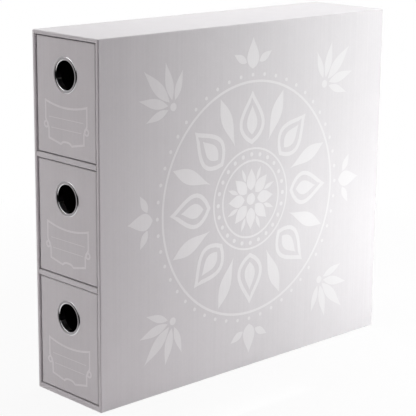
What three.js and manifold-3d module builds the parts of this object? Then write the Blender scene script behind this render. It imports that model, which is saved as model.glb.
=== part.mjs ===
// Card storage case with three drawers, built as a bookbinder builds it:
// grey boards, covered and lined with paper, and a metal finger ring in each drawer.
// Millimetres, +Z up. The origin is on the table, under the middle of the case.
// The drawers face -Y and slide out that way.

import * as THREE from "three";
import { mergeVertices } from "three/addons/utils/BufferGeometryUtils.js";
import { RoundedBoxGeometry } from "three/addons/geometries/RoundedBoxGeometry.js";
import Module from "manifold-3d";

// Case, outside
const caseWidth = 98;
const caseDepth = 400;
const caseHeight = 360;

// Walls of the case, each with the paper on both its faces
const sideWall = 4;
const topWall = 4;
const baseWall = 5.6;
const backWall = 3.5;
const shelfThickness = 5.3;

// Paper
const paper = 0.3;
const wrapRadius = 1.2;
const mouthTurnIn = 16;
const pastedMargin = 3;

// Tray of a drawer, and the room that it slides in
const trayWall = 2.6;
const traySideGap = 1.4;
const trayHeadGap = 3;
const trayRearGap = 0.8;
const trayRestGap = 0.3;
const rimTurnIn = 12;

// Front panel of a drawer
const panelThickness = 2.6;
const panelRecess = 1;
const panelSideGap = 1.3;
const panelHeadGap = 0.9;
const panelFootGap = 0.9;
const panelBackMargin = 11;
const glueLine = 0.1;

// Finger ring, a rolled metal eyelet, and the washer that it is clinched over
const ringBore = 28;
const flangeWidth = 3.5;
const ringRise = 0.9;
const ringWall = 0.5;
const ringHoleGap = 0.4;
const holeBelowTurnIn = 4.8;
const clinchWidth = 1.5;
const washerWidth = 3.4;
const washerThickness = 0.8;
const washerBevel = 0.25;
const washerBoreGap = 0.1;

// How finely round shapes are divided
const paperEdgeSteps = 2;
const boardEdgeSteps = 1;
const ringSides = 36;
const crownSteps = 7;
const hollowSteps = 4;
const bendSteps = 2;

// Cuts run this far past what they cut
const overrun = 5;
// Corners nearer than this are one corner
const weldDistance = 0.001;
// Directions are rounded to this part of 1, so that flat faces are flat to the last digit
const directionParts = 1e6;
// A rounded edge takes up at most this share of a board's thickness
const roundShare = 0.48;

// The three drawers, from the bottom up
const levels = ["lower", "middle", "upper"];

// Places that several pieces share
const front = -caseDepth / 2;
const rear = caseDepth / 2;
const backFace = rear - backWall;
const bayHalf = caseWidth / 2 - sideWall;
const ceiling = caseHeight - topWall;
const shelfCount = levels.length - 1;
const bayHeight = (ceiling - baseWall - shelfCount * shelfThickness) / levels.length;
const bayFloor = (level) => baseWall + level * (bayHeight + shelfThickness);

const caseSpan = {
  x: [-caseWidth / 2, caseWidth / 2],
  y: [front, rear],
  z: [0, caseHeight],
};

// The solid tools

const wasm = await Module();
wasm.setup();

function toSolid(geometry) {
  const bare = geometry.clone();
  bare.deleteAttribute("normal");
  bare.deleteAttribute("uv");
  const welded = mergeVertices(bare, weldDistance);
  const mesh = new wasm.Mesh({
    numProp: 3,
    vertProperties: new Float32Array(welded.attributes.position.array),
    triVerts: new Uint32Array(welded.index.array),
  });
  return new wasm.Manifold(mesh);
}

function toGeometry(solid) {
  const mesh = solid.getMesh();
  const geometry = new THREE.BufferGeometry();
  geometry.setAttribute("position", new THREE.BufferAttribute(mesh.vertProperties, 3));
  geometry.setIndex(new THREE.BufferAttribute(mesh.triVerts, 1));
  geometry.computeVertexNormals();
  return geometry;
}

function middle([low, high]) {
  return (low + high) / 2;
}

// A span drawn in by a margin at both ends, or let out by a negative one
function drawnIn([low, high], margin) {
  return [low + margin, high - margin];
}

// A plain block between the given limits
function block({ x, y, z }) {
  const centre = new THREE.Vector3(middle(x), middle(y), middle(z));
  const size = new THREE.Vector3(x[1] - x[0], y[1] - y[0], z[1] - z[0]);
  const geometry = new THREE.BoxGeometry(1, 1, 1);
  geometry.applyMatrix4(new THREE.Matrix4().compose(centre, new THREE.Quaternion(), size));
  return toSolid(geometry);
}

// A board with the soft edges that paper gives it. At inset 0 this is the covered board,
// and at inset paper it is the bare board inside, so the two always fit each other.
// Its corners are set out from the limits themselves, so flush faces share one plane.
function softBoard({ x, y, z }, inset) {
  const [width, depth, height] = [x, y, z].map(([low, high]) => high - low - 2 * inset);
  const fullest = roundShare * Math.min(width, depth, height);
  const radius = Math.min(wrapRadius - inset, fullest);
  const steps = inset > 0 ? boardEdgeSteps : paperEdgeSteps;
  const geometry = new RoundedBoxGeometry(width, depth, height, steps, radius);
  const { position, normal } = geometry.attributes;
  const cores = [x, y, z].map((span) => drawnIn(span, inset + radius));
  for (let corner = 0; corner < position.count; corner += 1) {
    cores.forEach(([low, high], axis) => {
      const core = position.getComponent(corner, axis) < 0 ? low : high;
      const outward = normal.getComponent(corner, axis);
      const rounded = Math.round(outward * directionParts) / directionParts;
      position.setComponent(corner, axis, core + radius * rounded);
    });
  }
  return toSolid(geometry);
}

function joined(solids) {
  return solids.reduce((whole, solid) => whole.add(solid));
}

// The round hole for the finger ring, along Y through the given span
const holeRadius = ringBore / 2 + ringWall + ringHoleGap;

function fingerHole(y) {
  const length = y[1] - y[0];
  const geometry = new THREE.CylinderGeometry(holeRadius, holeRadius, length, ringSides);
  geometry.translate(0, middle(y), ringHeight);
  return toSolid(geometry);
}

// Case: a sleeve with a back, whose walls are softBoards joined at the corners

function caseWalls(inset) {
  const { x, y, z } = caseSpan;
  return joined([
    softBoard({ x: [x[0], -bayHalf], y, z }, inset),
    softBoard({ x: [bayHalf, x[1]], y, z }, inset),
    softBoard({ x, y, z: [ceiling, z[1]] }, inset),
    softBoard({ x, y, z: [z[0], baseWall] }, inset),
    softBoard({ x, y: [backFace, y[1]], z }, inset),
  ]);
}

// The side boards run the full height and depth, and the others are glued between them
function caseBoards() {
  const bare = caseWalls(paper);
  const seam = bayHalf + paper;
  const between = [-seam, seam];
  const past = { x: drawnIn(caseSpan.x, -overrun), z: drawnIn(caseSpan.z, -overrun) };
  const wholeDepth = drawnIn(caseSpan.y, -overrun);
  const beforeBack = [wholeDepth[0], backFace + paper];
  const cuts = {
    left: { x: [past.x[0], -seam], y: wholeDepth, z: past.z },
    right: { x: [seam, past.x[1]], y: wholeDepth, z: past.z },
    back: { x: between, y: [backFace + paper, wholeDepth[1]], z: past.z },
    top: { x: between, y: beforeBack, z: [ceiling + paper, past.z[1]] },
    base: { x: between, y: beforeBack, z: [past.z[0], baseWall - paper] },
  };
  return Object.entries(cuts).map(([side, span]) => ({
    name: `case_${side}_board`,
    solid: bare.intersect(block(span)),
    finish: "greyBoard",
  }));
}

// The space that the drawers run in, behind the turned-in paper of the mouth
function linedSpace(grow) {
  return {
    x: drawnIn([-bayHalf, bayHalf], -grow),
    y: [front + mouthTurnIn, backFace + grow],
    z: drawnIn([baseWall, ceiling], -grow),
  };
}

// Windows in the cover sheet that the pasted panels of the back and the underside fill
const backWindow = {
  x: drawnIn(caseSpan.x, pastedMargin),
  y: [rear - paper, rear + overrun],
  z: drawnIn(caseSpan.z, pastedMargin),
};
const baseWindow = {
  x: drawnIn(caseSpan.x, pastedMargin),
  y: drawnIn(caseSpan.y, pastedMargin),
  z: [-overrun, paper],
};

// One printed sheet goes round the sleeve and is turned in over its front and rear edges
function casePapers() {
  const skin = caseWalls(0).subtract(caseWalls(paper));
  const backPanel = block(backWindow);
  const basePanel = block(baseWindow);
  const cover = skin.subtract(block(linedSpace(paper))).subtract(backPanel).subtract(basePanel);
  return [
    { name: "case_cover_sheet", solid: cover, finish: "coverPaper" },
    { name: "case_back_sheet", solid: skin.intersect(backPanel), finish: "coverPaper" },
    { name: "case_base_sheet", solid: skin.intersect(basePanel), finish: "coverPaper" },
  ];
}

// Shelves: wrapped boards that are glued in between the finished side walls

const shelfNames = ["shelf_lower", "shelf_upper"];

function shelfSpan(shelf) {
  return [bayFloor(shelf) + bayHeight, bayFloor(shelf + 1)];
}

// The board runs wider and deeper than the bay at first, and is then cut square to it
function shelfBody(shelf, inset) {
  const z = shelfSpan(shelf);
  const body = softBoard({ x: caseSpan.x, y: caseSpan.y, z }, inset);
  const y = [front - overrun, backFace + paper];
  return body.intersect(block({ x: [-bayHalf, bayHalf], y, z: drawnIn(z, -overrun) }));
}

function shelfSkin(shelf) {
  return shelfBody(shelf, 0).subtract(shelfBody(shelf, paper));
}

function shelfPieces(shelf) {
  const z = drawnIn(shelfSpan(shelf), -overrun);
  const nose = { x: [-bayHalf, bayHalf], y: [front - overrun, front + mouthTurnIn], z };
  const name = shelfNames[shelf];
  const sheet = shelfSkin(shelf).intersect(block(nose));
  return [
    { name: `${name}_board`, solid: shelfBody(shelf, paper), finish: "greyBoard" },
    { name: `${name}_sheet`, solid: sheet, finish: "coverPaper" },
  ];
}

// The lining of a bay is the paper on all its walls, from the turned-in edge to the back
function bayLining(level) {
  const { x, y } = linedSpace(paper);
  const z = drawnIn([bayFloor(level), bayFloor(level) + bayHeight], -paper);
  const walls = [caseWalls(0).subtract(caseWalls(paper))];
  const shelves = [level - 1, level].filter((shelf) => shelf in shelfNames);
  const papers = joined(walls.concat(shelves.map(shelfSkin)));
  return {
    name: `bay_${levels[level]}_lining`,
    solid: papers.intersect(block({ x, y, z })),
    finish: "liningPaper",
  };
}

// Drawer: its own floor is z = 0 at the floor of the bay, and y is the same as in the case

const panelY = [front + panelRecess, front + panelRecess + panelThickness];
const trayHalf = bayHalf - traySideGap;
const traySpan = {
  x: [-trayHalf, trayHalf],
  y: [panelY[1] + glueLine, backFace - trayRearGap],
  z: [trayRestGap, bayHeight - trayHeadGap],
};
const trayHollow = {
  x: drawnIn(traySpan.x, trayWall),
  y: drawnIn(traySpan.y, trayWall),
  z: [traySpan.z[0] + trayWall, traySpan.z[1]],
};
// The hole is cut below the paper that is turned in over the rim
const liningTop = traySpan.z[1] - rimTurnIn;
const ringHeight = liningTop - holeBelowTurnIn - holeRadius;

// The tray is open on top, and its walls are softBoards too
function trayWalls(inset) {
  const { x, y, z } = traySpan;
  return joined([
    softBoard({ x: [x[0], trayHollow.x[0]], y, z }, inset),
    softBoard({ x: [trayHollow.x[1], x[1]], y, z }, inset),
    softBoard({ x, y: [y[0], trayHollow.y[0]], z }, inset),
    softBoard({ x, y: [trayHollow.y[1], y[1]], z }, inset),
    softBoard({ x, y, z: [z[0], trayHollow.z[0]] }, inset),
  ]).subtract(fingerHole([y[0] - overrun, trayHollow.y[0] + overrun]));
}

function trayBoards() {
  const bare = trayWalls(paper);
  const between = drawnIn(trayHollow.x, -paper);
  const inner = drawnIn(trayHollow.y, -paper);
  const past = {
    x: drawnIn(traySpan.x, -overrun),
    y: drawnIn(traySpan.y, -overrun),
    z: drawnIn(traySpan.z, -overrun),
  };
  const cuts = {
    left: { x: [past.x[0], between[0]], y: past.y, z: past.z },
    right: { x: [between[1], past.x[1]], y: past.y, z: past.z },
    front: { x: between, y: [past.y[0], inner[0]], z: past.z },
    back: { x: between, y: [inner[1], past.y[1]], z: past.z },
    floor: { x: between, y: inner, z: [past.z[0], trayHollow.z[0] - paper] },
  };
  return Object.entries(cuts).map(([side, span]) => ({
    name: `${side}_board`,
    solid: bare.intersect(block(span)),
    finish: "greyBoard",
  }));
}

// The cover paper goes over the rim and down inside, and the dark lining starts where it ends
function trayPapers() {
  const skin = trayWalls(0).subtract(trayWalls(paper));
  const lined = block({
    x: drawnIn(trayHollow.x, -paper),
    y: drawnIn(trayHollow.y, -paper),
    z: [trayHollow.z[0] - paper, liningTop],
  });
  return [
    { name: "cover_sheet", solid: skin.subtract(lined), finish: "coverPaper" },
    { name: "lining", solid: skin.intersect(lined), finish: "darkPaper" },
  ];
}

// The front panel is a covered board glued to the front of the tray
function panelPieces() {
  const span = {
    x: drawnIn([-bayHalf, bayHalf], panelSideGap),
    y: panelY,
    z: [panelFootGap, bayHeight - panelHeadGap],
  };
  const hole = fingerHole(drawnIn(panelY, -overrun));
  const board = softBoard(span, paper);
  const window = block({
    x: drawnIn(span.x, panelBackMargin),
    y: [panelY[1] - paper, panelY[1] + overrun],
    z: drawnIn(span.z, panelBackMargin),
  });
  const sheet = softBoard(span, 0).subtract(board).subtract(window).subtract(hole);
  return [
    { name: "panel_board", solid: board.subtract(hole), finish: "greyBoard" },
    { name: "panel_sheet", solid: sheet, finish: "coverPaper" },
  ];
}

// Finger ring: outline points are radius and depth, with depth 0 at the face of the panel

// Points of an arc round a centre, from one angle to another, both in half turns
function arc(centre, radii, from, to, steps) {
  return Array.from({ length: steps + 1 }, (_, step) => {
    const angle = Math.PI * (from + ((to - from) * step) / steps);
    const x = centre.x + radii.x * Math.cos(angle);
    return new THREE.Vector2(x, centre.y + radii.y * Math.sin(angle));
  });
}

const washerDepth = panelThickness + trayWall + 2 * glueLine;
const bore = ringBore / 2;
const neck = bore + ringWall;
const bend = 2 * ringWall;

// The metal rises from the panel over a rolled flange, goes through the panel and the tray
// as a neck, and is bent out behind the washer
function ringOutline() {
  const foot = -glueLine;
  const crown = new THREE.Vector2(bore + flangeWidth / 2, foot);
  const outer = new THREE.Vector2(flangeWidth / 2, ringRise);
  const inner = outer.clone().subScalar(ringWall);
  const clinchFace = washerDepth + washerThickness + glueLine;
  const turn = new THREE.Vector2(bore + bend, clinchFace + ringWall - bend);
  const outside = new THREE.Vector2(bend, bend);
  const inside = outside.clone().subScalar(ringWall);
  const clinchEdge = turn.x + clinchWidth;
  return [
    ...arc(crown, outer, 0, -1, crownSteps),
    ...arc(turn, outside, 1, 1 / 2, bendSteps),
    new THREE.Vector2(clinchEdge, clinchFace + ringWall),
    new THREE.Vector2(clinchEdge, clinchFace),
    ...arc(turn, inside, 1 / 2, 1, bendSteps),
    ...arc(crown, inner, -1, 0, hollowSteps),
  ];
}

function washerOutline() {
  const inner = bore + bend + washerBoreGap;
  const outer = inner + washerWidth;
  const back = washerDepth + washerThickness;
  return [
    new THREE.Vector2(inner, washerDepth),
    new THREE.Vector2(inner, back),
    new THREE.Vector2(outer - washerBevel, back),
    new THREE.Vector2(outer, back - washerBevel),
    new THREE.Vector2(outer, washerDepth),
  ];
}

// A closed outline turned about the Y axis. The outlines run down the bore and back outside,
// and the lathe takes them the other way round, so that the faces point outwards.
function turned(outline) {
  const loop = [...outline, outline[0]].reverse();
  return toSolid(new THREE.LatheGeometry(loop, ringSides));
}

function ringPieces() {
  const place = [0, panelY[0], ringHeight];
  return [
    { name: "finger_ring", solid: turned(ringOutline()), finish: "chrome", place },
    { name: "ring_washer", solid: turned(washerOutline()), finish: "plainSteel", place },
  ];
}

// Colour, roughness and metalness of what each piece is made of
const finishes = {
  coverPaper: [0xdddbde, 0.5, 0],
  greyBoard: [0x8f8b84, 0.9, 0],
  liningPaper: [0xb9b7ba, 0.75, 0],
  darkPaper: [0x1b1a1c, 0.8, 0],
  chrome: [0xd6d7d9, 0.12, 1],
  plainSteel: [0xaeb0b3, 0.35, 1],
};

function toMesh({ name, solid, finish, place = [0, 0, 0] }, prefix = "") {
  const [color, roughness, metalness] = finishes[finish];
  const material = new THREE.MeshStandardMaterial({ color, roughness, metalness });
  const mesh = new THREE.Mesh(toGeometry(solid), material);
  mesh.name = prefix + name;
  mesh.position.fromArray(place);
  return mesh;
}

const box = new THREE.Group();

const shelves = shelfNames.flatMap((_, shelf) => shelfPieces(shelf));
const linings = levels.map((_, level) => bayLining(level));
for (const piece of [...caseBoards(), ...casePapers(), ...shelves, ...linings]) {
  box.add(toMesh(piece));
}

// The three drawers are alike, and each is a group at the floor of its bay
const drawerPieces = [...trayBoards(), ...trayPapers(), ...panelPieces(), ...ringPieces()];
levels.forEach((level, index) => {
  const drawer = new THREE.Group();
  drawer.position.z = bayFloor(index);
  for (const piece of drawerPieces) {
    drawer.add(toMesh(piece, `drawer_${level}_`));
  }
  box.add(drawer);
});

export default box;
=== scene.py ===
# %% [markdown]
# # A covered card box with three drawers
# The real box is bookbinder's work. Grey boards are glued into a narrow case and three trays,
# and every board is wrapped in a pale satin paper. A chromed ring lines each finger hole.
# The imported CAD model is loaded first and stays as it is. It could be dressed in materials
# alone, but its rounds have few faces and its paper carries no print. So the pieces that the
# eye meets, such as the covers, the rings and the print, are modelled around it in more detail.

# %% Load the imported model
import math

import bmesh
import bpy
from mathutils import Matrix, Vector


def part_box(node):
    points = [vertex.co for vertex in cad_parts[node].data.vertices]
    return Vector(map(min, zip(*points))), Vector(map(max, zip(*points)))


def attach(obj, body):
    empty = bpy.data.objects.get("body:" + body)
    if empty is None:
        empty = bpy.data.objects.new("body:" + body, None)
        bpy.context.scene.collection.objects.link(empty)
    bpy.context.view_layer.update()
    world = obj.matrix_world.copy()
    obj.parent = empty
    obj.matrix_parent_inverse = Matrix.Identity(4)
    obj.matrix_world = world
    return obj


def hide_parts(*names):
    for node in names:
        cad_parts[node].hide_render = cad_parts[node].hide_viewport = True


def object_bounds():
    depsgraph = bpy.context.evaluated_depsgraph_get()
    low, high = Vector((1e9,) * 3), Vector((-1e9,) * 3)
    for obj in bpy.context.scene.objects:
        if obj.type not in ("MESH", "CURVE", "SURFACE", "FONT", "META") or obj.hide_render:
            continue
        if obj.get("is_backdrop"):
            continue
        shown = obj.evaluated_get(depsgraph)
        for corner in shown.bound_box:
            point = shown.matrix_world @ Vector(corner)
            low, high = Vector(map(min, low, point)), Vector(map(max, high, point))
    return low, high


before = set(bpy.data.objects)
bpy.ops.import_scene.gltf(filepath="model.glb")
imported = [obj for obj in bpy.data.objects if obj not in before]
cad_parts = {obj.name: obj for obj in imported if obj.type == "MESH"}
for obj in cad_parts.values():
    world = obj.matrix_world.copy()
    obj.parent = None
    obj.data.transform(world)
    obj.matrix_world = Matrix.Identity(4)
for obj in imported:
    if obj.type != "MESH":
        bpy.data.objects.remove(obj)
cad_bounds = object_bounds()
MM = 0.001
print("case:", [round(size / MM, 1) for size in cad_bounds[1] - cad_bounds[0]], "mm")

# %% [markdown]
# ## Camera
# A long lens stands at the front right corner, a little above the box. Its angles are those
# that make seven corners of the case fall where the photograph has them. A camera could also
# be aimed with a constraint, but a matrix built from three turns leaves nothing live.

# %% Place the camera
LENS = 126.673
SENSOR = 36
AZIMUTH = math.radians(46.26)
ELEVATION = math.radians(13.952)
ROLL = math.radians(0.54)
DISTANCE = 1.54539
AIM = Vector((-0.01428, 0, 0.15867))

turn = Matrix.Rotation(AZIMUTH, 4, "Z")
tilt = Matrix.Rotation(math.pi / 2 - ELEVATION, 4, "X")
roll = Matrix.Rotation(ROLL, 4, "Z")
back_away = Matrix.Translation((0, 0, DISTANCE))
bpy.ops.object.select_all(action="DESELECT")
bpy.ops.object.camera_add()
camera = bpy.context.object
camera.data.lens = LENS
camera.data.sensor_width = SENSOR
camera.matrix_world = Matrix.Translation(AIM) @ turn @ tilt @ roll @ back_away
bpy.context.scene.camera = camera
bpy.context.scene.view_settings.view_transform = "Standard"
print("camera at", [round(place, 3) for place in camera.matrix_world.translation])

# %% [markdown]
# ## Colours and nodes
# A finish is a small tree of shader nodes. The nodes could be placed and wired one by one in
# the shader editor. Here one function adds a node of any kind with its settings and links, so
# that each tree reads from top to bottom. Colours are written as a screen shows them, and are
# turned to linear light, because that is what the shader calculates with.

# %% Add nodes and start a material


def linear(colour):
    """An sRGB hex colour as linear red, green, blue and alpha."""
    channels = [int(colour[place:place + 2], 16) / 255 for place in (1, 3, 5)]
    light = [c / 12.92 if c <= 0.04045 else ((c + 0.055) / 1.055) ** 2.4 for c in channels]
    return (*light, 1)


def set_inputs(tree, node, inputs):
    """Fill inputs with values or links. A node stands for the first of its outputs in use."""
    for name, value in inputs.items():
        if isinstance(value, bpy.types.Node):
            value = next(socket for socket in value.outputs if socket.enabled)
        if isinstance(value, bpy.types.NodeSocket):
            tree.links.new(value, node.inputs[name])
        else:
            node.inputs[name].default_value = value


def add_node(tree, kind, inputs=None, **settings):
    """Add a node of a kind with its settings, and fill its inputs."""
    node = tree.nodes.new("ShaderNode" + kind)
    for name, value in settings.items():
        setattr(node, name, value)
    set_inputs(tree, node, inputs or {})
    return node


def start_material(name, constants):
    """A new material, its nodes, its shader and the object coordinates in metres."""
    material = bpy.data.materials.new(name)
    material.use_nodes = True
    tree = material.node_tree
    shader = tree.nodes["Principled BSDF"]
    set_inputs(tree, shader, constants)
    place = add_node(tree, "TexCoord").outputs["Object"]
    return material, tree, shader, place


print("#808080 on a screen is", round(linear("#808080")[0], 3), "in linear light")

# %% [markdown]
# ## Satin cover paper
# The cover is a coated paper with a satin film, glued over board. The film gives a soft, wide
# sheen. Under it the paper has cloudy fibre and faint streaks from the rollers of the coating
# machine, and the board shows through as a very shallow wave. A picture of paper could be laid
# on, but then each piece would need a flat layout, while noise in object coordinates runs on
# from one fold to the next. The fibre is 0.3 mm on the real sheet. It is drawn at 2 mm, because
# finer grain would not show.

# %% Make the cover paper
FIBRE = 2 * MM
CLOUD = 24 * MM
STREAK = 1.6 * MM
STREAK_RUN = 260 * MM
BOARD_WAVE = 35 * MM
PAPER_RELIEF = 0.02 * MM
# How many times deeper the board's wave is than the fibre
WAVE_SHARE = 4.0
# Noise with fine branches, as pulp has
FIBROUS = {"Detail": 4.0, "Roughness": 0.6}
# The spans that hold nearly all values of one noise and of three added together
ONE_NOISE = {"From Min": 0.3, "From Max": 0.7}
THREE_NOISES = {"From Min": 1.1, "From Max": 1.9}
# Where the painted shade on a print begins, in front, and where it is deepest, behind
PAINTED_REAR_SHADE_SPAN = {"From Min": -40 * MM, "From Max": 190 * MM}
# The colour inputs of a Mix node by their order, because their names repeat
MIX_A, MIX_B = 6, 7


def cover_paper(name, light, shade, sheen, painted_rear_shade=None):
    """Satin paper or print between two tones and two roughnesses, with painted shade that may darken it
    towards the rear to a third tone.
    """
    material, tree, shader, place = start_material(name, {"IOR": 1.5})
    fibre = add_node(tree, "TexNoise", {"Vector": place, "Scale": 1 / FIBRE, **FIBROUS})
    cloud = add_node(tree, "TexNoise", {"Vector": place, "Scale": 1 / CLOUD, "Detail": 3.0})
    run = add_node(tree, "Mapping", {"Vector": place, "Scale": (1, 1, STREAK / STREAK_RUN)})
    streak = add_node(tree, "TexNoise", {"Vector": run, "Scale": 1 / STREAK, "Detail": 1.0})
    wave = add_node(tree, "TexNoise", {"Vector": place, "Scale": 1 / BOARD_WAVE, "Detail": 1.0})

    both = add_node(tree, "Math", {0: cloud, 1: streak}, operation="ADD")
    patches = add_node(tree, "Math", {0: both, 1: fibre}, operation="ADD")
    tone = add_node(tree, "MapRange", {"Value": patches, **THREE_NOISES})
    tones = {"Factor": tone, MIX_A: linear(shade), MIX_B: linear(light)}
    colour = add_node(tree, "Mix", tones, data_type="RGBA")
    # Painted shade: the colour darkens towards the rear, where the side is most brightly lit and shows
    # the print least
    if painted_rear_shade:
        depth = add_node(tree, "SeparateXYZ", {0: place}).outputs["Y"]
        painted_rear_shading = add_node(tree, "MapRange", {"Value": depth, **PAINTED_REAR_SHADE_SPAN})
        tones = {"Factor": painted_rear_shading, MIX_A: colour, MIX_B: linear(painted_rear_shade)}
        colour = add_node(tree, "Mix", tones, data_type="RGBA")

    low, high = sheen
    roughness = add_node(tree, "MapRange", {"Value": cloud, **ONE_NOISE, "To Min": low, "To Max": high})
    deeper = add_node(tree, "Math", {0: wave, 1: WAVE_SHARE}, operation="MULTIPLY")
    heights = add_node(tree, "Math", {0: deeper, 1: fibre}, operation="ADD")
    relief = add_node(tree, "Bump", {"Height": heights, "Distance": PAPER_RELIEF})
    set_inputs(tree, shader, {"Base Color": colour, "Roughness": roughness, "Normal": relief})
    return material


satin_cover_paper = cover_paper("satin_cover_paper", "#D2D0D2", "#CDCBCD", (0.40, 0.52))
print("cover paper:", len(satin_cover_paper.node_tree.nodes), "nodes")

# %% [markdown]
# ## Pale prints
# The ornament and the label frames are screen printed in a paler, denser ink, a shade glossier
# than the film around it, so that they also show by their sheen. They could have a plain
# material of their own, but ink lies in the grain of the paper, so they are the same paper in
# other tones. The big ornament is painted darker over its rear half: painted shade, where the
# bright light on the side shows the print least.

# %% Make the prints
# The ornament's third colour is the painted shade that it darkens to at the rear
pearl_print = cover_paper("pearl_screen_print", "#E2E1E2", "#DEDDDE", (0.36, 0.44), "#D6D5D6")
label_print = cover_paper("pale_label_print", "#E5E3E5", "#E0DEE0", (0.36, 0.44))
print("prints:", pearl_print.name, "and", label_print.name)

# %% [markdown]
# ## Grey board
# Binder's board is pressed from recycled paper pulp: matt, mid grey, with darker and paler
# flecks a millimetre or two across. Single flecks could be scattered as spots, but pulp has
# flecks of all sizes, which one noise with many branches gives. Board shows only at cut edges
# and in holes.

# %% Make the board
FLECK = 1.5 * MM
BOARD_RELIEF = 0.05 * MM

grey_board, tree, shader, place = start_material("pressed_grey_board", {"IOR": 1.5, "Roughness": 0.9})
pulp = {"Vector": place, "Scale": 1 / FLECK, "Detail": 5.0, "Roughness": 0.7}
flecks = add_node(tree, "TexNoise", pulp)
tone = add_node(tree, "MapRange", {"Value": flecks, **ONE_NOISE})
tones = {"Factor": tone, MIX_A: linear("#77726B"), MIX_B: linear("#A09B93")}
colour = add_node(tree, "Mix", tones, data_type="RGBA")
relief = add_node(tree, "Bump", {"Height": flecks, "Distance": BOARD_RELIEF})
set_inputs(tree, shader, {"Base Color": colour, "Normal": relief})
print("board:", FLECK / MM, "mm flecks")

# %% [markdown]
# ## Linings
# The bays are lined with an uncoated grey paper, and the trays with a black one. Both are matt
# and slightly cloudy, with a fine tooth that a satin film would have filled. The cover paper
# could be reused without its sheen, but its streaks come from coating, and these are uncoated.
# The tooth of the real papers is 0.2 mm. It is drawn at 1.2 mm, so that it shows.

# %% Make the lining papers
LINING_CLOUD = 14 * MM
TOOTH = 1.2 * MM
LINING_RELIEF = 0.03 * MM
TWO_NOISES = {"From Min": 0.7, "From Max": 1.3}


def lining_paper(name, light, shade):
    material, tree, shader, place = start_material(name, {"IOR": 1.5, "Roughness": 0.82})
    cloud = add_node(tree, "TexNoise", {"Vector": place, "Scale": 1 / LINING_CLOUD, "Detail": 3.0})
    tooth = add_node(tree, "TexNoise", {"Vector": place, "Scale": 1 / TOOTH, **FIBROUS})
    both = add_node(tree, "Math", {0: cloud, 1: tooth}, operation="ADD")
    tone = add_node(tree, "MapRange", {"Value": both, **TWO_NOISES})
    tones = {"Factor": tone, MIX_A: linear(shade), MIX_B: linear(light)}
    colour = add_node(tree, "Mix", tones, data_type="RGBA")
    relief = add_node(tree, "Bump", {"Height": tooth, "Distance": LINING_RELIEF})
    set_inputs(tree, shader, {"Base Color": colour, "Normal": relief})
    return material


bay_lining_paper = lining_paper("uncoated_grey_paper", "#BDBBBE", "#B2B0B3")
tray_lining_paper = lining_paper("uncoated_black_paper", "#262527", "#1D1C1E")
print("linings:", TOOTH / MM, "mm tooth")

# %% [markdown]
# ## Chrome
# The ring is pressed from thin steel and chrome plated: a bright, slightly cool mirror. A pure
# mirror would do from afar, but near by it looks drawn, so it gets a faint haze, and faint
# waves that the press left in the metal.

# %% Make the chrome
HAZE = 3 * MM
PRESS_WAVE = 5 * MM
METAL_RELIEF = 0.01 * MM

plating = {"Metallic": 1.0, "Base Color": linear("#DDDDDE")}
chrome, tree, shader, place = start_material("chrome_plated_steel", plating)
haze = add_node(tree, "TexNoise", {"Vector": place, "Scale": 1 / HAZE, "Detail": 3.0})
waves = add_node(tree, "TexNoise", {"Vector": place, "Scale": 1 / PRESS_WAVE, "Detail": 1.0})
roughness = add_node(tree, "MapRange", {"Value": haze, **ONE_NOISE, "To Min": 0.05, "To Max": 0.12})
relief = add_node(tree, "Bump", {"Height": waves, "Distance": METAL_RELIEF})
set_inputs(tree, shader, {"Roughness": roughness, "Normal": relief})
print("chrome:", HAZE / MM, "mm haze")

# %% [markdown]
# ## Brushed steel
# The washer behind the ring is plain steel with a dull, brushed face. The shader's anisotropy
# could stretch its highlights, but the washer is small and dark inside the tray, so noise that
# is drawn out along X as scratches is enough. Real scratches are a tenth of a millimetre wide.
# These are four times as wide, so that they show.

# %% Make the steel
SCRATCH = 0.4 * MM
# The width of a scratch as a share of its length
SCRATCH_SHARE = 0.06

brushed_steel, tree, shader, place = start_material("brushed_steel", {"Metallic": 1.0})
run = add_node(tree, "Mapping", {"Vector": place, "Scale": (SCRATCH_SHARE, 1, 1)})
brushing = {"Vector": run, "Scale": 1 / SCRATCH, "Detail": 3.0, "Roughness": 0.6}
scratches = add_node(tree, "TexNoise", brushing)
tone = add_node(tree, "MapRange", {"Value": scratches, **ONE_NOISE})
tones = {"Factor": tone, MIX_A: linear("#A2A4A8"), MIX_B: linear("#B9BBBE")}
colour = add_node(tree, "Mix", tones, data_type="RGBA")
roughness = add_node(tree, "MapRange", {"Value": scratches, **ONE_NOISE, "To Min": 0.3, "To Max": 0.45})
relief = add_node(tree, "Bump", {"Height": scratches, "Distance": METAL_RELIEF})
set_inputs(tree, shader, {"Base Color": colour, "Roughness": roughness, "Normal": relief})
print("steel:", round(SCRATCH / SCRATCH_SHARE / MM, 1), "mm scratches")

# %% [markdown]
# ## Case cover
# One printed sheet goes round the sleeve and is folded in over its edges: 16 mm into the
# mouth, and 3 mm over the rear and the underside, where pasted sheets cover its cut edge. It
# could be drawn flat and folded up, but a folded sheet is the skin of a block, so a block of
# the size of the case is opened instead. Operators act on whatever is selected, so each helper
# starts from a clean selection.

# %% Start the cover from a block


def deselect():
    if bpy.context.object and bpy.context.object.mode != "OBJECT":
        bpy.ops.object.mode_set(mode="OBJECT")
    bpy.ops.object.select_all(action="DESELECT")


def settle(name):
    """Name the new primitive, and move its place, turn and size into its mesh."""
    bpy.ops.object.transform_apply(location=True, rotation=True, scale=True)
    piece = bpy.context.object
    piece.name = name
    piece.data.name = name
    return piece


def add_block(name, low, high):
    deselect()
    bpy.ops.mesh.primitive_cube_add(size=1, location=(low + high) / 2, scale=high - low)
    return settle(name)


case_low, case_high = cad_bounds
case_cover = add_block("case_cover", case_low, case_high)
print("case cover: a block of", len(case_cover.data.polygons), "faces")

# %% [markdown]
# Faces, edges and corners are picked by a test on their place or their normal. Their numbers
# in the mesh could be written down instead, but those change with every cut before them.

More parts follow.
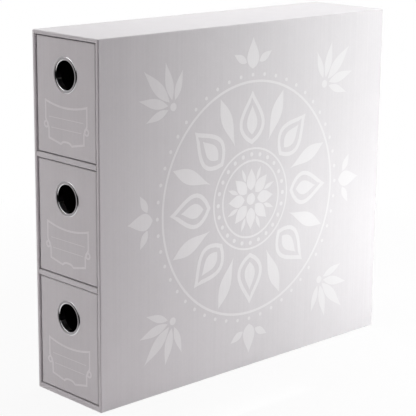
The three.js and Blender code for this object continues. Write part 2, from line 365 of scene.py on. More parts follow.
# %% Pick parts of a mesh
# Parts this close together count as being at the same place
NEAR = 0.01 * MM
# The least cosine between two directions that count as one
SAME_WAY = 0.99


def take(piece):
    """Make one piece the selected and active one."""
    deselect()
    piece.select_set(True)
    bpy.context.view_layer.objects.active = piece


def pick(piece, kind, *tests):
    """Select, in edit mode, the parts of a kind that pass all the tests, and count them."""
    if piece.mode != "EDIT":
        take(piece)
        bpy.ops.object.mode_set(mode="EDIT")
    bpy.ops.mesh.select_mode(type=kind)
    bpy.ops.mesh.select_all(action="DESELECT")
    mesh = bmesh.from_edit_mesh(piece.data)
    mesh.normal_update()
    parts = {"VERT": mesh.verts, "EDGE": mesh.edges, "FACE": mesh.faces}[kind]
    chosen = [part for part in parts if all(test(part) for test in tests)]
    for part in chosen:
        part.select_set(True)
    bmesh.update_edit_mesh(piece.data)
    return len(chosen)


def middle(part):
    """The middle of an edge or a face."""
    return sum((corner.co for corner in part.verts), Vector()) / len(part.verts)


def at(axis, place):
    """A test for edges and faces whose middle is at a place along an axis."""
    return lambda part: abs(middle(part)["xyz".index(axis)] - place) < NEAR


def facing(x, y, z):
    """A test for faces that look along a direction."""
    return lambda face: face.normal.dot(Vector((x, y, z))) > SAME_WAY


print("faces that look forwards:", pick(case_cover, "FACE", facing(0, -1, 0)))

# %% [markdown]
# The front face is inset to make the mouth. An inset is as wide on all sides, so the foot and
# the head of the mouth are then moved to the widths of the base and the top. The middle is
# pushed inwards, and what closes the sheet is taken off. A smaller block could be cut out
# instead, but an inset leaves clean four-sided faces for the bevel that follows.

# %% Open the mouth, the rear and the underside
PAPER = 0.3 * MM
TURN_IN = 16 * MM
PASTED_MARGIN = 3 * MM
# In square metres. Of the faces that look forwards, backwards or down, only those that close
# the mouth, the rear and the underside are larger
CLOSING_AREA = 0.02


def closing(face):
    """A test for the faces that close the sheet."""
    return face.calc_area() > CLOSING_AREA


lining_low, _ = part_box("bay_lower_lining")
_, lining_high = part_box("bay_upper_lining")
mouth_low = lining_low + Vector((PAPER, 0, PAPER))
mouth_high = lining_high - Vector((PAPER, 0, PAPER))
side_wall = case_high.x - mouth_high.x
base_wall = mouth_low.z - case_low.z
top_wall = case_high.z - mouth_high.z

pick(case_cover, "FACE", facing(0, -1, 0))
bpy.ops.mesh.inset(thickness=side_wall)
pick(case_cover, "EDGE", at("y", case_low.y), at("z", case_low.z + side_wall))
bpy.ops.transform.translate(value=(0, 0, base_wall - side_wall))
pick(case_cover, "EDGE", at("y", case_low.y), at("z", case_high.z - side_wall))
bpy.ops.transform.translate(value=(0, 0, side_wall - top_wall))
pick(case_cover, "FACE", facing(0, -1, 0), at("x", 0), closing)
bpy.ops.mesh.extrude_region_move(TRANSFORM_OT_translate={"value": (0, TURN_IN, 0)})
bpy.ops.mesh.delete(type="FACE")
for side in (facing(0, 1, 0), facing(0, 0, -1)):
    pick(case_cover, "FACE", side, closing)
    bpy.ops.mesh.inset(thickness=PASTED_MARGIN)
    bpy.ops.mesh.delete(type="FACE")
print("walls at the mouth:", [round(wall / MM, 2) for wall in (side_wall, base_wall, top_wall)], "mm")

# %% [markdown]
# Paper wrapped over board has soft folds. They could be left to a live bevel, but a bevel that
# is applied shows what the next steps work on. Solidify then gives the skin the thickness of
# the paper, inwards, so that the outside keeps its size.

# %% Round the folds and thicken the sheet
FOLD_RADIUS = 1.2 * MM
FOLD_STEPS = 4
FOLD_ANGLE = math.radians(60)
# Edges sharper than this many degrees stay sharp when the faces beside them are shaded smooth
SHARP_FOLD = 35


def is_fold(edge):
    """A test for the outward folds of a sheet, where two faces meet at a right angle."""
    return edge.is_manifold and edge.calc_face_angle_signed() > FOLD_ANGLE


def apply_modifier(piece, kind, **settings):
    take(piece)
    modifier = piece.modifiers.new(kind.lower(), kind)
    for name, value in settings.items():
        setattr(modifier, name, value)
    bpy.ops.object.modifier_apply(modifier=modifier.name)


def smooth(piece, angle):
    """Shade round edges smooth, and keep the flat faces beside them flat."""
    take(piece)
    bpy.ops.object.shade_smooth_by_angle(angle=math.radians(angle))
    apply_modifier(piece, "WEIGHTED_NORMAL", keep_sharp=True)


def round_folds(piece):
    folds = pick(piece, "EDGE", is_fold)
    bpy.ops.mesh.bevel(offset=FOLD_RADIUS, segments=FOLD_STEPS, affect="EDGES")
    bpy.ops.object.mode_set(mode="OBJECT")
    return folds


def thicken(sheet):
    """Give a sheet the thickness of the paper, inwards, and shade its folds smooth."""
    apply_modifier(sheet, "SOLIDIFY", thickness=PAPER, offset=-1, use_even_offset=True)
    smooth(sheet, SHARP_FOLD)


folds = round_folds(case_cover)
thicken(case_cover)
case_cover.data.materials.append(satin_cover_paper)
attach(case_cover, "case")
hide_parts("case_cover_sheet")
print("case cover:", folds, "folds,", len(case_cover.data.polygons), "faces")

# %% [markdown]
# ## Pasted back
# The back is closed by a pasted sheet that lies over the cut edge of the cover. The CAD has it
# level with the cover, and its mesh could be kept, but a real sheet stands proud by its own
# thickness, so that its outline shows as a fine step. It is a block with its outer edges eased,
# as a cut and rubbed-down sheet has. The one underneath lies on the floor, where no step shows,
# and stays as the CAD has it.

# %% Paste the back
SHEET_STEP = 0.12 * MM
EASED_EDGE = 0.1 * MM
EASED_STEPS = 2

back_low, back_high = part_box("case_back_sheet")
back_panel = add_block("case_back_panel", back_low, back_high + Vector((0, SHEET_STEP, 0)))
outside = facing(0, 1, 0)
pick(back_panel, "EDGE", lambda edge: any(outside(face) for face in edge.link_faces))
bpy.ops.mesh.bevel(offset=EASED_EDGE, segments=EASED_STEPS, affect="EDGES")
smooth(back_panel, SHARP_FOLD)
back_panel.data.materials.append(satin_cover_paper)
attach(back_panel, "case")
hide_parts("case_back_sheet")
print("back panel stands", SHEET_STEP / MM, "mm proud")

# %% [markdown]
# ## Shelf noses
# A shelf is a board with a strip of cover paper round its front edge. The strip could be a
# curve with a section, but it is only a folded channel, so it is a block whose back and two
# ends are taken off.

# %% Wrap the shelf noses
NOSE_GAP = 0.15 * MM
open_sides = (facing(0, 1, 0), facing(1, 0, 0), facing(-1, 0, 0))

for shelf in ("shelf_lower", "shelf_upper"):
    nose_low, nose_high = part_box(f"{shelf}_sheet")
    ends = Vector((NOSE_GAP, 0, 0))
    nose = add_block(f"{shelf}_nose", nose_low + ends, nose_high - ends)
    pick(nose, "FACE", lambda face: any(side(face) for side in open_sides))
    bpy.ops.mesh.delete(type="FACE")
    round_folds(nose)
    thicken(nose)
    nose.data.materials.append(satin_cover_paper)
    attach(nose, "case")
    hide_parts(f"{shelf}_sheet")
    print(nose.name, len(nose.data.polygons), "faces")

# %% [markdown]
# ## Drawer fronts
# Each drawer front is a board in its own cover, with the paper turned in 11 mm behind it. A
# block is inset at the back, where the board shows in a window, and its folds are rounded. The
# finger hole could be drawn into the front face, but a cylinder that cuts it stays round and
# lands where the ring is. Its walls come off again, because paper doesn't line the hole.

# %% Cover a drawer front and cut its hole
PANEL_MARGIN = 11 * MM
HOLE_RADIUS = 14.9 * MM
HOLE_SIDES = 96
OVERRUN = 5 * MM

ring_low, ring_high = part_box("drawer_lower_finger_ring")
ring_centre = (ring_low + ring_high) / 2
panel_low, panel_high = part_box("drawer_lower_panel_sheet")


def in_bore(front, end):
    """A test for faces on the walls of the bore behind the front face, or on its end."""
    def test(face):
        away = middle(face) - ring_centre
        deep = front + NEAR < middle(face).y < end + NEAR
        return deep and math.hypot(away.x, away.z) < HOLE_RADIUS + NEAR
    return test


def cut_hole(piece, depth):
    """Bore the finger hole from the front to a depth, and take its walls off the skin."""
    front = min(corner.co.y for corner in piece.data.vertices)
    start, end = front - OVERRUN, front + depth
    deselect()
    bpy.ops.mesh.primitive_cylinder_add(
        vertices=HOLE_SIDES,
        radius=HOLE_RADIUS,
        depth=end - start,
        location=(ring_centre.x, (start + end) / 2, ring_centre.z),
        rotation=(math.pi / 2, 0, 0),
    )
    cutter = settle("hole_cutter")
    apply_modifier(piece, "BOOLEAN", object=cutter, operation="DIFFERENCE", solver="EXACT")
    bpy.data.objects.remove(cutter)
    walls = pick(piece, "FACE", in_bore(front, end))
    bpy.ops.mesh.delete(type="FACE")
    return walls


drawer_front = add_block("drawer_lower_front", panel_low, panel_high)
pick(drawer_front, "FACE", facing(0, 1, 0))
bpy.ops.mesh.inset(thickness=PANEL_MARGIN)
round_folds(drawer_front)
walls = cut_hole(drawer_front, panel_high.y - panel_low.y + OVERRUN)
print("drawer front:", walls, "faces taken out of the hole")

# %% [markdown]
# The cut leaves the window at the back in several faces, so it is picked by the place of their
# corners. It could be opened before the cut, but a boolean needs a closed shape.

# %% Open the window at the back


def within(low, high):
    """A test for parts with all their corners in a box."""
    def inside(corner):
        return all(low[i] - NEAR < corner.co[i] < high[i] + NEAR for i in range(3))
    return lambda part: all(inside(corner) for corner in part.verts)


margin = Vector((PANEL_MARGIN, 0, PANEL_MARGIN))
pick(drawer_front, "FACE", facing(0, 1, 0), within(panel_low + margin, panel_high - margin))
bpy.ops.mesh.delete(type="FACE")
thicken(drawer_front)
print("drawer front:", len(drawer_front.data.polygons), "faces")

# %% [markdown]
# ## Tray covers
# The tray's cover goes up its outside, over the rim and 12 mm down inside, where the black
# lining starts. It could be built of four walls, but one sheet has no seams at its corners. So
# the top of a block is inset by the wall, pushed down and opened.

# %% Cover a tray
TRAY_WALL = 2.6 * MM
RIM_TURN_IN = 12 * MM

tray_low, tray_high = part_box("drawer_lower_cover_sheet")
tray_cover = add_block("drawer_lower_tray_cover", tray_low, tray_high)
pick(tray_cover, "FACE", facing(0, 0, 1))
bpy.ops.mesh.inset(thickness=TRAY_WALL)
bpy.ops.mesh.extrude_region_move(TRANSFORM_OT_translate={"value": (0, 0, -RIM_TURN_IN)})
round_folds(tray_cover)
cut_hole(tray_cover, TRAY_WALL)
pick(tray_cover, "FACE", facing(0, 0, 1), at("z", tray_high.z - RIM_TURN_IN))
bpy.ops.mesh.delete(type="FACE")
thicken(tray_cover)
print("tray cover:", len(tray_cover.data.polygons), "faces")

# %% [markdown]
# ## Drawing lines
# The rings and the prints start from a drawn line. It could be a curve, but a mesh line can be
# spun, filled and inset at once. A plane is merged to a single corner, and the corner is
# extruded from point to point.

# %% Draw a closed line
# Corners this close together are one corner
TOUCHING = 0.001 * MM


def trace(name, points):
    """Draw a closed line through the points, and stay in edit mode."""
    deselect()
    bpy.ops.mesh.primitive_plane_add(size=MM, location=points[0])
    line = settle(name)
    bpy.ops.object.mode_set(mode="EDIT")
    bpy.ops.mesh.select_mode(type="VERT")
    bpy.ops.mesh.select_all(action="SELECT")
    bpy.ops.mesh.merge(type="CENTER")
    for here, there in zip(points, points[1:]):
        bpy.ops.mesh.extrude_vertices_move(TRANSFORM_OT_translate={"value": there - here})
    ends = (points[0], points[-1])
    pick(line, "VERT", lambda corner: any((corner.co - end).length < TOUCHING for end in ends))
    bpy.ops.mesh.edge_face_add()
    return line


def arc(centre, radii, start, end, steps):
    """Points of an arc in radius and depth, with its angles in half turns."""
    angles = [math.pi * (start + (end - start) * step / steps) for step in range(steps + 1)]
    return [(centre[0] + radii[0] * math.cos(a), centre[1] + radii[1] * math.sin(a)) for a in angles]


quarter = arc((0, 0), (1, 1), 0, 0.5, 2)
print("the middle of a quarter turn:", [round(share, 3) for share in quarter[1]])

# %% [markdown]
# ## Finger rings
# The ring is a pressed eyelet: a rolled flange on the drawer front, a neck through panel and
# tray, and an edge clinched over a washer inside. It could be put together from tori and a
# tube, but it is one sheet of metal, round about one axis. So its section is drawn once, out
# along the outer skin and back along the inner one, and spun.

# %% Spin the ring
BORE = 14 * MM
FLANGE = 3.5 * MM
METAL = 0.5 * MM
CLINCH = 1.5 * MM
# How far the flange stays off the paper, and the neck off the washer
SEAT_GAP = 0.1 * MM
CROWN_STEPS = 14
BEND_STEPS = 5
SPIN_STEPS = 96
# Edges sharper than this many degrees stay sharp on the metal
SHARP_METAL = 40


def face_out(piece):
    """Close what touches, and turn all the faces outwards."""
    take(piece)
    bpy.ops.object.mode_set(mode="EDIT")
    bpy.ops.mesh.select_all(action="SELECT")
    bpy.ops.mesh.remove_doubles(threshold=TOUCHING)
    bpy.ops.mesh.normals_make_consistent(inside=False)
    bpy.ops.object.mode_set(mode="OBJECT")


def spin_section(name, section):
    """Spin a closed section of radius and depth about the axis of the finger hole."""
    start = Vector((ring_centre.x, 0, ring_centre.z))
    ring = trace(name, [start + Vector((radius, depth, 0)) for radius, depth in section])
    bpy.ops.mesh.select_all(action="SELECT")
    bpy.ops.mesh.spin(steps=SPIN_STEPS, angle=2 * math.pi, center=start, axis=(0, 1, 0))
    face_out(ring)
    smooth(ring, SHARP_METAL)
    return ring


foot = panel_low.y - SEAT_GAP
rise = foot - ring_low.y
crown = (BORE + FLANGE / 2, foot)
bend = (BORE + 2 * METAL, ring_high.y - 2 * METAL)
clinch_edge = bend[0] + CLINCH
ring_section = [
    *arc(crown, (FLANGE / 2, rise), 0, -1, CROWN_STEPS),
    *arc(bend, (2 * METAL, 2 * METAL), 1, 0.5, BEND_STEPS),
    (clinch_edge, ring_high.y),
    (clinch_edge, ring_high.y - METAL),
    *arc(bend, (METAL, METAL), 0.5, 1, BEND_STEPS),
    *arc(crown, (FLANGE / 2 - METAL, rise - METAL), -1, 0, CROWN_STEPS),
]
finger_ring = spin_section("drawer_lower_chrome_ring", ring_section)
print("ring:", len(finger_ring.data.polygons), "faces, rises", round(rise / MM, 2), "mm")

# %% [markdown]
# The washer is a flat ring with a pressed bevel on the edge that shows inside the tray. A
# cylinder with a hole could be bevelled, but its section of a few points is as quick to spin.

# %% Spin the washer
WASHER_BEVEL = 0.25 * MM
BEVEL_STEPS = 4

washer_low, washer_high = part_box("drawer_lower_ring_washer")
washer_bore = bend[0] + SEAT_GAP
washer_radius = (washer_high.z - washer_low.z) / 2
bevel_centre = (washer_radius - WASHER_BEVEL, washer_high.y - WASHER_BEVEL)
washer_section = [
    (washer_bore, washer_low.y),
    (washer_bore, washer_high.y),
    *arc(bevel_centre, (WASHER_BEVEL, WASHER_BEVEL), 0.5, 0, BEVEL_STEPS),
    (washer_radius, washer_low.y),
]
washer = spin_section("drawer_lower_steel_washer", washer_section)
print("washer:", round(washer_radius / MM, 2), "mm in radius")

# %% [markdown]
# ## Label frames
# Each drawer front has a printed frame for a written label, in the shape of a small scroll:
# a sagging top edge, a curl at each side, and a notch in the middle of the foot. It could be
# painted in the material, but a real outline stays sharp from near by. So it is drawn, filled,
# hollowed to a band and raised by the height of the ink.

# %% Print the band of the label frame
INK = 0.06 * MM
# How deep the print reaches into the paper, so that no gap shows under it
INK_SINK = 0.03 * MM
BAND = 2 * MM
SAG_STEPS = 8
# Places on the front in millimetres, to the side of its middle and above the floor of the bay
TOP_MIDDLE, TOP_CORNER = (0, 48.4), (32, 53.2)
SHOULDER, WAIST, FOOT_CORNER, FOOT = (32, 34), (27.4, 26), (27.3, 15.2), (8, 11.2)
NOTCH_SIDE, NOTCH_CURVE, NOTCH_TOP = (5.4, 13.2), (2.8, 13.9), (0, 14)
bay_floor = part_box("bay_lower_lining")[0].z + PAPER


def on_front(x, height):
    return Vector((x * MM, panel_low.y + INK_SINK, bay_floor + height * MM))


def fill_outline(name, points):
    line = trace(name, points)
    bpy.ops.mesh.select_all(action="SELECT")
    bpy.ops.mesh.edge_face_add()
    return line


def hollow(width):
    """Leave only a band along the outline of a flat shape."""
    bpy.ops.mesh.select_mode(type="FACE")
    bpy.ops.mesh.select_all(action="SELECT")
    bpy.ops.mesh.inset(thickness=width)
    bpy.ops.mesh.delete(type="FACE")


def raise_ink(direction):
    """Give the flat faces of the print their thickness along a direction."""
    bpy.ops.mesh.select_all(action="SELECT")
    lift = Vector(direction) * (INK + INK_SINK)
    bpy.ops.mesh.extrude_region_move(TRANSFORM_OT_translate={"value": lift})


drop = TOP_CORNER[1] - TOP_MIDDLE[1]
shares = [step / SAG_STEPS for step in range(1, SAG_STEPS + 1)]
sag = [(TOP_CORNER[0] * share, TOP_MIDDLE[1] + drop * share ** 2) for share in shares]
right_half = [*sag, SHOULDER, WAIST, FOOT_CORNER, FOOT, NOTCH_SIDE, NOTCH_CURVE]
left_half = [(-x, height) for x, height in reversed(right_half)]
outline = [TOP_MIDDLE, *right_half, NOTCH_TOP, *left_half]
frame_band = fill_outline("label_band", [on_front(x, height) for x, height in outline])
hollow(BAND)
raise_ink((0, -1, 0))
print("label band:", len(outline), "corners")

# %% [markdown]
# The curls at the sides are small rings, and the two ruled lines are thin strips. They could be
# one outline with the band, but the shapes cross there, and flat pieces that lie one on
# another look the same once they are joined.

# %% Add the curls and the ruled lines
CURL_PLACE = (30.3, 28.7)
CURL_RADIUS = 3.8 * MM
CURL_BAND = 1.9 * MM
CURL_SIDES = 32
# The curls lie a hair before the band, so that their faces don't share its plane
CURL_STEP = Vector((0, -INK_SINK / 2, 0))
# The heights of the ruled lines and how far they reach to each side
RULES = ((36.6, 25.8), (26.6, 22.7))
RULE_HALF = 0.32


def add_spot(name, radius, sides, place, rotation):
    """A flat round shape, in edit mode."""
    deselect()
    bpy.ops.mesh.primitive_circle_add(
        vertices=sides, radius=radius, fill_type="NGON", location=place, rotation=rotation
    )
    spot = settle(name)
    bpy.ops.object.mode_set(mode="EDIT")
    return spot


def join(name, parts):
    """Join flat pieces of print into one, with its faces outwards."""
    deselect()
    for part in parts:
        part.select_set(True)
    bpy.context.view_layer.objects.active = parts[0]
    bpy.ops.object.join()
    joined = settle(name)
    face_out(joined)
    return joined


label_parts = [frame_band]
for side in (-1, 1):
    place = on_front(side * CURL_PLACE[0], CURL_PLACE[1]) + CURL_STEP
    label_parts.append(add_spot("label_curl", CURL_RADIUS, CURL_SIDES, place, (math.pi / 2, 0, 0)))
    hollow(CURL_BAND)
    raise_ink((0, -1, 0))
for height, reach in RULES:
    low, high = height - RULE_HALF, height + RULE_HALF
    corners = ((-reach, low), (reach, low), (reach, high), (-reach, high))
    label_parts.append(fill_outline("label_rule", [on_front(*corner) for corner in corners]))
    raise_ink((0, -1, 0))
label_frame = join("drawer_lower_label_print", label_parts)
print("label print:", len(label_frame.data.polygons), "faces")

# %% [markdown]
# ## Three drawers alike
# The pieces of the lower drawer are copied to the two bays above. Linked copies would save
# memory, but each piece keeps its place in its own mesh, so each copy has its own, and it rides
# on the body of its own drawer.

# %% Copy the drawer pieces up
drawer_pieces = {
    "front": (drawer_front, satin_cover_paper, "panel_sheet", "cover_paper"),
    "tray_cover": (tray_cover, satin_cover_paper, "cover_sheet", "cover_paper"),
    "chrome_ring": (finger_ring, chrome, "finger_ring", "chrome"),
    "steel_washer": (washer, brushed_steel, "ring_washer", "plain_steel"),
    "label_print": (label_frame, label_print, None, "cover_paper"),
}
for piece, finish, _, _ in drawer_pieces.values():
    piece.data.materials.append(finish)


def copy_up(piece, name, rise):
    """A copy with its own mesh, raised to another bay."""
    take(piece)
    bpy.ops.object.duplicate(linked=False)
    bpy.ops.transform.translate(value=(0, 0, rise))
    return settle(name)


for level in ("upper", "middle", "lower"):
    body = f"drawer_{level}"
    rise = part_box(f"{body}_panel_sheet")[0].z - panel_low.z
    for part, (piece, _, node, slot) in drawer_pieces.items():
        if level != "lower":
            piece = copy_up(piece, f"{body}_{part}", rise)
        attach(piece, body)
        if node:
            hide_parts(f"{body}_{node}")
    print(body, "stands", round(rise / MM, 2), "mm above the lower one")

# %% [markdown]
# ## Ornament on the side
# Such a box has one large print on its side, tone on tone. Here it is a traditional round
# ornament of leaves, beads and rings, with a finial on each axis and a fan in each corner. It
# could be a picture laid on the side, but drawn shapes stay sharp. A leaf is drawn once and spun
# in copies about the middle, as a rosette is set out with compasses.

# %% Draw leaves and spots on the side
LEAF_STEPS = 12
heart = Vector((case_high.x - INK_SINK, 0, (case_low.z + case_high.z) / 2))


def on_side(u, v):
    """A place on the right side, in millimetres behind and above the middle of the ornament."""
    return heart + Vector((0, u * MM, v * MM))


def leaf(root, tip, width, belly, point):
    """A leaf that stands on the upright axis, widest towards its root or its tip."""
    flank = []
    for step in range(1, LEAF_STEPS):
        share = step / LEAF_STEPS
        half = width / 2 * math.sin(math.pi * share ** belly) ** point
        flank.append((half, root + (tip - root) * share))
    return [(0, root), *flank, (0, tip), *[(-u, v) for u, v in reversed(flank)]]


def turned(outline, angle, pivot=0):
    """An outline turned by degrees, towards the rear, about a pivot on the upright axis."""
    c, s = math.cos(math.radians(angle)), math.sin(math.radians(angle))
    return [(u * c + (v - pivot) * s, pivot + (v - pivot) * c - u * s) for u, v in outline]


def spread_copies(motif, count):
    """Raise the ink of a motif and leave copies of it at even angles about the middle."""
    raise_ink((1, 0, 0))
    if count > 1:
        bpy.ops.mesh.select_all(action="SELECT")
        angle = 2 * math.pi * (count - 1) / count
        bpy.ops.mesh.spin(steps=count - 1, dupli=True, angle=angle, center=heart, axis=(1, 0, 0))
    bpy.ops.object.mode_set(mode="OBJECT")
    return motif


def wreath(name, outline, count, band=0):
    """Copies of a leaf, solid or as a band whose inner tip is merged."""
    motif = fill_outline(name, [on_side(u, v) for u, v in outline])
    if band:
        hollow(band * MM)
        bpy.ops.mesh.select_all(action="SELECT")
        bpy.ops.mesh.remove_doubles(threshold=band * MM / 2)
    return spread_copies(motif, count)


def spots(radius, hole, place, count, sides):
    """A round spot or a ring, alone or as beads about the middle."""
    spot = add_spot("ornament_spot", radius * MM, sides, on_side(*place), (0, math.pi / 2, 0))
    if hole:
        hollow((radius - hole) * MM)
    return spread_copies(spot, count)


print("heart of the ornament:", [round(place / MM, 2) for place in heart], "mm")

# %% [markdown]
# The rosette is laid out from the middle outwards: an eye, a small flower, beads, two wreaths
# of leaves between plain rings, and a row of beads round the rim. Each shape could be placed by
# hand, but a table of their radii shows how they follow each other.

# %% Lay out the rosette
# Of each leaf its root, tip and width in millimetres, its belly and point, its turn in degrees,
# how many there are, and the width of its band in millimetres, which is 0 where it is filled
ROSETTE_LEAVES = {
    "heart_leaf": (9, 32, 13, 0.75, 1.1, 0, 8, 0),
    "heart_spear": (20, 36, 4.5, 0.8, 1.3, 22.5, 8, 0),
    "great_leaf_band": (57, 112, 36, 0.72, 1.15, 0, 8, 4.2),
    "great_leaf_heart": (67, 97, 15, 0.75, 1.2, 0, 8, 0),
    "spear_leaf": (62, 117, 15, 1.25, 1.2, 22.5, 8, 0),
}
# The radii of the eye and of the rings, each with that of its hole
ROUNDS = ((6, 0), (41, 39), (53.5, 51.5), (122.5, 120))
ROUND_SIDES = 96
# The radius of a bead, the radius of its row, how many there are and their sides
BEADS = ((2.2, 46.5, 24, 20), (1.9, 128, 48, 16))

motifs = [spots(radius, hole, (0, 0), 1, ROUND_SIDES) for radius, hole in ROUNDS]
motifs += [spots(radius, 0, (0, row), count, sides) for radius, row, count, sides in BEADS]
for name, (root, tip, width, belly, point, angle, count, band) in ROSETTE_LEAVES.items():
    outline = turned(leaf(root, tip, width, belly, point), angle)
    motifs.append(wreath(name, outline, count, band))
print("rosette:", len(motifs), "motifs")

# %% [markdown]
# A finial closes the rosette above, below and at both ends, and a fan of five leaves fills
# each corner. The rosette could be larger instead, but the side is longer than it is high, and
# corner pieces fill it evenly, as they do on a book cover.

# %% Add the finials and the corner fans
# Root, tip, width, belly and point, as in the table of the rosette
FINIAL_LEAF = (134, 166, 17, 0.65, 1.2)
FINIAL_SIDE_LEAF = (146, 166, 8, 0.8, 1.1)
# The side leaves sweep out by this many degrees about this height on the axis
FINIAL_SWEEP = 62
FINIAL_PIVOT = 136
FAN_PIVOT = 152
FAN_SPOT = 4
FAN_SPOT_SIDES = 24
# How far a leaf of the fan starts from the pivot, its belly and its point
FAN_START, FAN_BELLY, FAN_POINT = 7, 0.8, 1.2
# The sweep of each leaf from the diagonal in degrees, its length and its width
FAN_LEAVES = ((-64, 30, 8), (-32, 38, 10), (0, 46, 12), (32, 38, 10), (64, 30, 8))
DIAGONAL = 45
QUARTERS = 4

motifs.append(wreath("finial_leaf", leaf(*FINIAL_LEAF), QUARTERS))
for sweep in (-FINIAL_SWEEP, FINIAL_SWEEP):
    outline = turned(leaf(*FINIAL_SIDE_LEAF), sweep, FINIAL_PIVOT)
    motifs.append(wreath("finial_side_leaf", outline, QUARTERS))
fan_place = turned([(0, FAN_PIVOT)], DIAGONAL)[0]
motifs.append(spots(FAN_SPOT, 0, fan_place, QUARTERS, FAN_SPOT_SIDES))
for sweep, length, width in FAN_LEAVES:
    root = FAN_PIVOT + FAN_START
    blade = turned(leaf(root, root + length, width, FAN_BELLY, FAN_POINT), sweep, FAN_PIVOT)
    motifs.append(wreath("fan_leaf", turned(blade, DIAGONAL), QUARTERS))

ornament = join("case_side_ornament", motifs)
ornament.data.materials.append(pearl_print)
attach(ornament, "case")
print("ornament:", len(ornament.data.polygons), "faces")

# %% [markdown]
# ## Pieces that stay as the CAD has them
# Boards and linings are flat, square-cut sheets. They could be modelled again, but the CAD has
# their true shape, so they only get their finishes.

# %% Dress the boards and linings
dressed = 0
for name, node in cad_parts.items():
    if node.hide_render:
        continue
    if name.endswith("_board"):
        finish = grey_board
    elif name.startswith("bay_"):
        finish = bay_lining_paper
    elif name.endswith("_lining"):
        finish = tray_lining_paper
    else:
        finish = satin_cover_paper
    for slot in node.material_slots:
        slot.material = finish
    dressed += 1
print("dressed CAD nodes:", dressed)

# %% [markdown]
# ## Floor
# A plain pale floor carries the box. Seen by the camera it is nearly white, as the seamless
# paper of a studio is, and it keeps the soft shadow under the box. Farther off it fades into
# the white background. A plain white plane would also do, but then more light would be needed
# to make it white, so it glows a little instead. Mirrored rays pass it by, because the world
# below paints all that the chrome can show.

# %% Lay the floor
FLOOR_SIZE = 2.4
FLOOR_GAP = 0.2 * MM
FLOOR_CLOUD = 0.2
NEAR_GLOW, FAR_GLOW = 0.9, 1.0
# The distances in metres between which the glow grows
GLOW_SPAN = {"From Min": 0.3, "From Max": 0.75}

deselect()
bpy.ops.mesh.primitive_plane_add(size=FLOOR_SIZE, location=(0, 0, -FLOOR_GAP))
floor = settle("studio_floor")
matt_white, tree, shader, place = start_material("matt_white_floor", {"IOR": 1.5, "Roughness": 0.9})
cloud = add_node(tree, "TexNoise", {"Vector": place, "Scale": 1 / FLOOR_CLOUD})
tone = add_node(tree, "MapRange", {"Value": cloud, **ONE_NOISE})
tones = {"Factor": tone, MIX_A: linear("#EDEDED"), MIX_B: linear("#F0F0F0")}
colour = add_node(tree, "Mix", tones, data_type="RGBA")
set_inputs(tree, shader, {"Base Color": colour})

away = add_node(tree, "VectorMath", {0: place}, operation="LENGTH")
growth = {"Value": away, **GLOW_SPAN, "To Min": NEAR_GLOW, "To Max": FAR_GLOW}
strength = add_node(tree, "MapRange", growth)
path = add_node(tree, "LightPath").outputs
rays = {0: path["Is Camera Ray"], 1: path["Is Transmission Ray"]}
seen = add_node(tree, "Math", rays, operation="MAXIMUM")
share = add_node(tree, "Math", {0: seen, 1: strength}, operation="MULTIPLY")
glow = add_node(tree, "Emission", {"Color": (1, 1, 1, 1), "Strength": 1.0})
surface = add_node(tree, "MixShader", {0: share, 1: shader, 2: glow})
set_inputs(tree, tree.nodes["Material Output"], {"Surface": surface})
floor.data.materials.append(matt_white)
floor.visible_glossy = False
floor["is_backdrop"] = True
print("floor:", FLOOR_SIZE, "m wide, glows", NEAR_GLOW, "near the box")

# %% [markdown]
# ## Lamps
# The box was lit softly from above and from behind its right side, so the long side runs from
# mid grey at the front to nearly white at the rear. A big softbox above and an upright strip
# beside the rear corner do that, and two weak strips near the floor lift the foot of the side.
# The drawer fronts get a softbox of their own and a second one overhead, a weak fill warms the
# dark end of the side, and one behind the box keeps the back clear. Thin gels on them give the
# dark parts their rosy grey. Lamps could be fewer and larger, but then the side would lose its
# run from dark to light.

# %% Set the lamps
WHITE = (1, 1, 1)
ROSY = (1, 0.954, 0.962)
PALE = (1, 0.985, 0.98)
COOL = (0.988, 1, 0.994)
PINK = (1, 0.5, 0.75)
# Where a lamp stands and what it is aimed at, its width and height, its watts and its gel
LAMPS = {
    "top_softbox": ((0.03, 0.27, 1.35), (0.03, 0.05, 0.3), 1.2, 1.2, 7.7, WHITE),
    "top_front_softbox": ((-0.3, -0.3, 1.2), (0, -0.1, 0.3), 0.8, 0.8, 4.1, PALE),
    "rear_strip": ((0.36, 0.41, 0.46), (0.05, 0.3, 0.38), 0.3, 1.1, 3.55, COOL),
    "low_rear_strip": ((0.36, 0.35, 0.03), (0.05, 0.3, 0.03), 0.5, 0.05, 0.53, WHITE),
    "low_front_strip": ((0.14, -0.12, 0.012), (0.05, -0.12, 0), 0.24, 0.02, 0.012, ROSY),
    "front_softbox": ((-0.9, -1.35, 0.24), (0, -0.2, 0.1), 0.8, 0.45, 9.6, ROSY),
    "side_fill": ((0.5, -0.3, 0.18), (0.05, -0.2, 0.18), 0.3, 0.4, 0.11, PINK),
    "back_softbox": ((-0.9, 1.6, 0.7), (0, 0.2, 0.2), 1.5, 1.2, 2.0, WHITE),
}
# These two would stand in the mirror of the chrome rings
UNMIRRORED = ("front_softbox", "side_fill")

for name, (place, target, width, height, power, gel) in LAMPS.items():
    deselect()
    bpy.ops.object.light_add(type="AREA", location=place)
    lamp = bpy.context.object
    lamp.name = name
    lamp.data.shape = "RECTANGLE"
    lamp.data.size = width
    lamp.data.size_y = height
    lamp.data.energy = power
    lamp.data.color = gel
    lamp.rotation_euler = (Vector(target) - Vector(place)).to_track_quat("-Z", "Y").to_euler()
    lamp.visible_camera = False
    lamp.visible_glossy = name not in UNMIRRORED
    print(name, power, "W")

# %% [markdown]
# ## Studio for the chrome
# Chrome shows what stands around it: white above, below and behind, grey between them, and one
# dark card beside the right front, which gives each ring its two dark flanks. The card could be
# a real plane, but it would then shade the box as well. So the world paints the studio, each
# part of it over a span of directions.

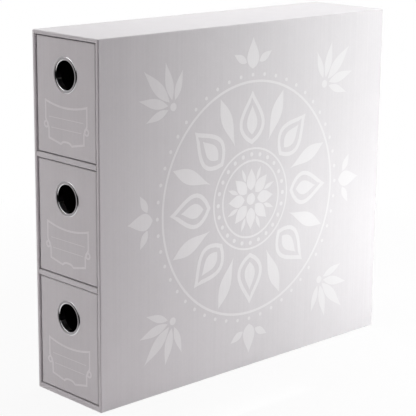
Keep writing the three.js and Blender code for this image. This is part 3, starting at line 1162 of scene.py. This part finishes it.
# %% Paint the studio
WALL_TONE = (0.95, 0.94, 0.95, 1)
ROOM_TONE = (0.41, 0.39, 0.40, 1)
CARD_TONE = (0.01, 0.01, 0.01, 1)
CARD_SIDE = (0.6, -0.8, 0)
# Where each part starts and where it is whole: the sine of the height, of the turn to the rear
# and, for the edges of the card, of the turn towards it
CEILING = {"From Min": 0.25, "From Max": 0.6}
GROUND = {"From Min": -0.5, "From Max": -0.62}
REAR = {"From Min": 0, "From Max": 0.35}
CARD_EDGE = {"From Min": 0.14, "From Max": 0.24}
CARD_FOOT = {"From Min": -0.46, "From Max": -0.38}
CARD_HEAD = {"From Min": 0.42, "From Max": 0.32}

world = bpy.data.worlds.new("studio")
bpy.context.scene.world = world
world.use_nodes = True
tree = world.node_tree
tree.nodes.clear()
aim = add_node(tree, "TexCoord").outputs["Generated"]
axes = add_node(tree, "SeparateXYZ", {0: aim}).outputs
above = add_node(tree, "MapRange", {"Value": axes["Z"], **CEILING})
below = add_node(tree, "MapRange", {"Value": axes["Z"], **GROUND})
behind = add_node(tree, "MapRange", {"Value": axes["Y"], **REAR})
over_and_under = add_node(tree, "Math", {0: above, 1: below}, operation="MAXIMUM")
lit = add_node(tree, "Math", {0: over_and_under, 1: behind}, operation="MAXIMUM")
room = add_node(tree, "Mix", {"Factor": lit, MIX_A: ROOM_TONE, MIX_B: WALL_TONE}, data_type="RGBA")

ahead = add_node(tree, "VectorMath", {0: aim, 1: CARD_SIDE}, operation="DOT_PRODUCT")
card_edge = add_node(tree, "MapRange", {"Value": ahead, **CARD_EDGE})
card_foot = add_node(tree, "MapRange", {"Value": axes["Z"], **CARD_FOOT})
card_head = add_node(tree, "MapRange", {"Value": axes["Z"], **CARD_HEAD})
upright = add_node(tree, "Math", {0: card_foot, 1: card_head}, operation="MULTIPLY")
card = add_node(tree, "Math", {0: upright, 1: card_edge}, operation="MULTIPLY")
studio = add_node(tree, "Mix", {"Factor": card, MIX_A: room, MIX_B: CARD_TONE}, data_type="RGBA")
print("studio:", len(tree.nodes), "nodes")

# %% [markdown]
# ## World
# The box itself needs none of that studio. It gets an even, weak light from all round, least
# from ahead of its right side, and the camera sees plain white. One background could serve all
# three, but white would then be more light than the box can take, so the kind of ray chooses.

# %% Light the box from all round
AMBIENT = 0.12
AMBIENT_TINT = (1, 0.92, 0.955, 1)
AMBIENT_SPAN = {"From Min": -0.2, "From Max": 0.6, "To Min": AMBIENT, "To Max": 0}

strength = add_node(tree, "MapRange", {"Value": ahead, **AMBIENT_SPAN})
ambient = add_node(tree, "Background", {"Color": AMBIENT_TINT, "Strength": strength})
mirrored = add_node(tree, "Background", {"Color": studio, "Strength": 1.0})
white = add_node(tree, "Background", {"Color": (1, 1, 1, 1), "Strength": 1.0})
path = add_node(tree, "LightPath").outputs
rays = {0: path["Is Glossy Ray"], 1: path["Is Transmission Ray"]}
clear = add_node(tree, "Math", rays, operation="MAXIMUM")
unseen = add_node(tree, "MixShader", {0: clear, 1: ambient, 2: mirrored})
surface = add_node(tree, "MixShader", {0: path["Is Camera Ray"], 1: unseen, 2: white})
add_node(tree, "OutputWorld", {"Surface": surface})
print("world:", len(tree.nodes), "nodes, ambient light", AMBIENT)

# %% [markdown]
# ## Sizes
# The visual model keeps to the CAD model's box, apart from the print and the pasted back, which
# stand proud by about a tenth of a millimetre. That is too little to see, so both boxes are
# printed side by side.

# %% Write the sizes and finish
boxes = {"cad": cad_bounds, "visual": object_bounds()}
for name, (low, high) in boxes.items():
    print(name, [round(size / MM, 2) for size in high - low], "mm")
